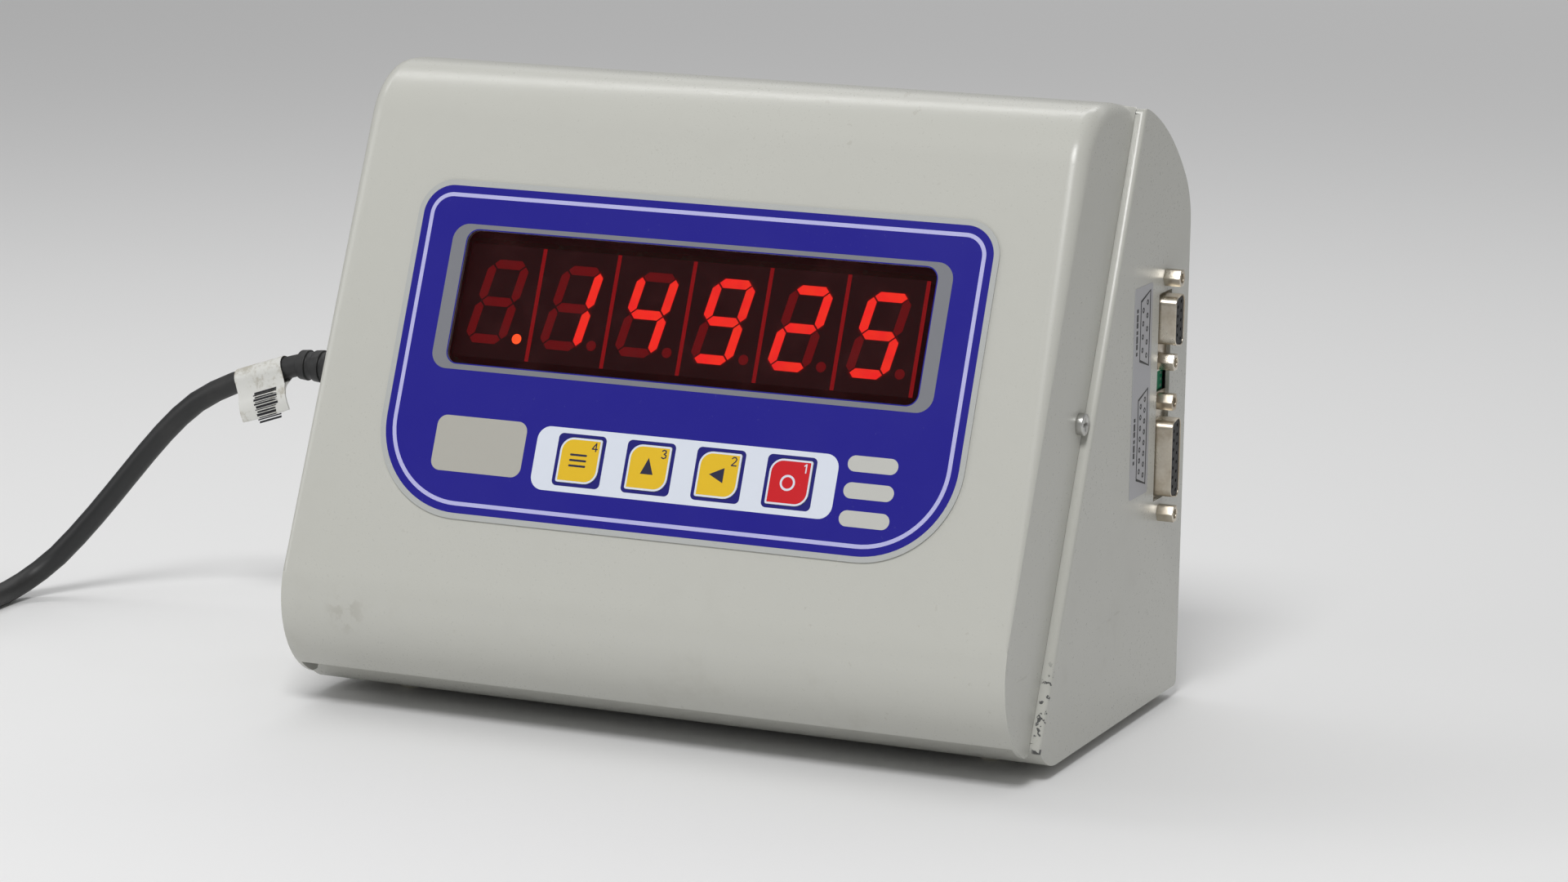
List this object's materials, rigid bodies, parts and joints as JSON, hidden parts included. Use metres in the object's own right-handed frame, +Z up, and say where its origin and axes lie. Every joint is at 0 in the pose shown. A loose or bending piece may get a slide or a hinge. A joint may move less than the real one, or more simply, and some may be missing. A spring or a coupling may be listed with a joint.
{
  "type": "weighing_indicator",
  "caption": "Desk-top weighing indicator with a sloping display face, film keys, side connectors and a coiled mains lead.",
  "frame": {"origin": "On the standing surface, under the middle of the case with its fittings.", "axes": "+Z up, the display faces -Y, the connectors are on the +X side."},
  "size_m": [0.528, 0.1569, 0.1853],
  "materials": {
    "case_paint": "semi-gloss powder coat",
    "label_film": "printed polyester film",
    "filter_red": "dark red acrylic",
    "segment_red": "red moulded display",
    "board_green": "solder mask",
    "bright_metal": "nickel plate",
    "key_yellow": "printed film",
    "key_red": "printed film",
    "plunger_white": "moulded",
    "black_plastic": "moulded",
    "black_metal": "black anodised",
    "fuse_glass": "clear",
    "ribbon_grey": "vinyl",
    "core_iron": "varnished laminations",
    "winding_tape": "polyester tape",
    "sticker_silver": "satin foil sticker",
    "foot_rubber": "pale elastomer",
    "cord_rubber": "black vinyl",
    "paper_white": "coated paper"
  },
  "bodies": {
    "case": {"front_cover": "case_paint", "rear_shell": "case_paint", "overlay_label": "label_film", "display_filter": "filter_red", "digit_module_1": "segment_red", "digit_module_2": "segment_red", "digit_module_3": "segment_red", "digit_module_4": "segment_red", "digit_module_5": "segment_red", "digit_module_6": "segment_red", "display_board": "board_green", "display_standoffs": "bright_metal", "display_nuts": "bright_metal", "tact_switch_1": "black_plastic", "tact_switch_2": "black_plastic", "tact_switch_3": "black_plastic", "tact_switch_4": "black_plastic", "main_board": "board_green", "board_pillars": "bright_metal", "board_screws": "bright_metal", "capacitors": "black_plastic", "regulator_sink": "black_metal", "fuse": "fuse_glass", "fuse_clips": "bright_metal", "ribbon_cable": "ribbon_grey", "ribbon_headers": "black_plastic", "transformer_core": "core_iron", "transformer_winding": "winding_tape", "transformer_clamp": "bright_metal", "transformer_screws": "bright_metal", "connector_board": "board_green", "port_a_shell": "bright_metal", "port_a_insulator": "black_plastic", "port_b_shell": "bright_metal", "port_b_insulator": "black_plastic", "screw_locks": "bright_metal", "connector_sticker": "sticker_silver", "cover_screws": "bright_metal", "feet": "foot_rubber", "inlet_body": "black_plastic", "inlet_pins": "bright_metal", "inlet_screws": "bright_metal", "rocker_frame": "black_plastic", "cord_connector": "cord_rubber", "flag_label": "paper_white", "mains_cord": "cord_rubber", "cord_coil": "cord_rubber", "cord_tie": "cord_rubber", "mains_plug": "cord_rubber", "plug_pins": "bright_metal"},
    "key_1": {"key_pad_1": "key_yellow", "switch_plunger_1": "plunger_white"},
    "key_2": {"key_pad_2": "key_yellow", "switch_plunger_2": "plunger_white"},
    "key_3": {"key_pad_3": "key_yellow", "switch_plunger_3": "plunger_white"},
    "key_4": {"key_pad_4": "key_red", "switch_plunger_4": "plunger_white"},
    "rocker": {"rocker_button": "black_plastic"}
  },
  "joints": [
    {"name": "key_1_press", "type": "slide", "parent": "case", "child": "key_1", "axis": [0, 0.9272, -0.3746], "range_m": [0, 0.00035], "stiffness_N_per_m": 600},
    {"name": "key_2_press", "type": "slide", "parent": "case", "child": "key_2", "axis": [0, 0.9272, -0.3746], "range_m": [0, 0.00035], "stiffness_N_per_m": 600},
    {"name": "key_3_press", "type": "slide", "parent": "case", "child": "key_3", "axis": [0, 0.9272, -0.3746], "range_m": [0, 0.00035], "stiffness_N_per_m": 600},
    {"name": "key_4_press", "type": "slide", "parent": "case", "child": "key_4", "axis": [0, 0.9272, -0.3746], "range_m": [0, 0.00035], "stiffness_N_per_m": 600},
    {"name": "rocker_tilt", "type": "hinge", "parent": "case", "child": "rocker", "pos_m": [-0.11367, 0.0355, 0.1213], "axis": [0, -1, 0], "range_deg": [0, 14]}
  ]
}
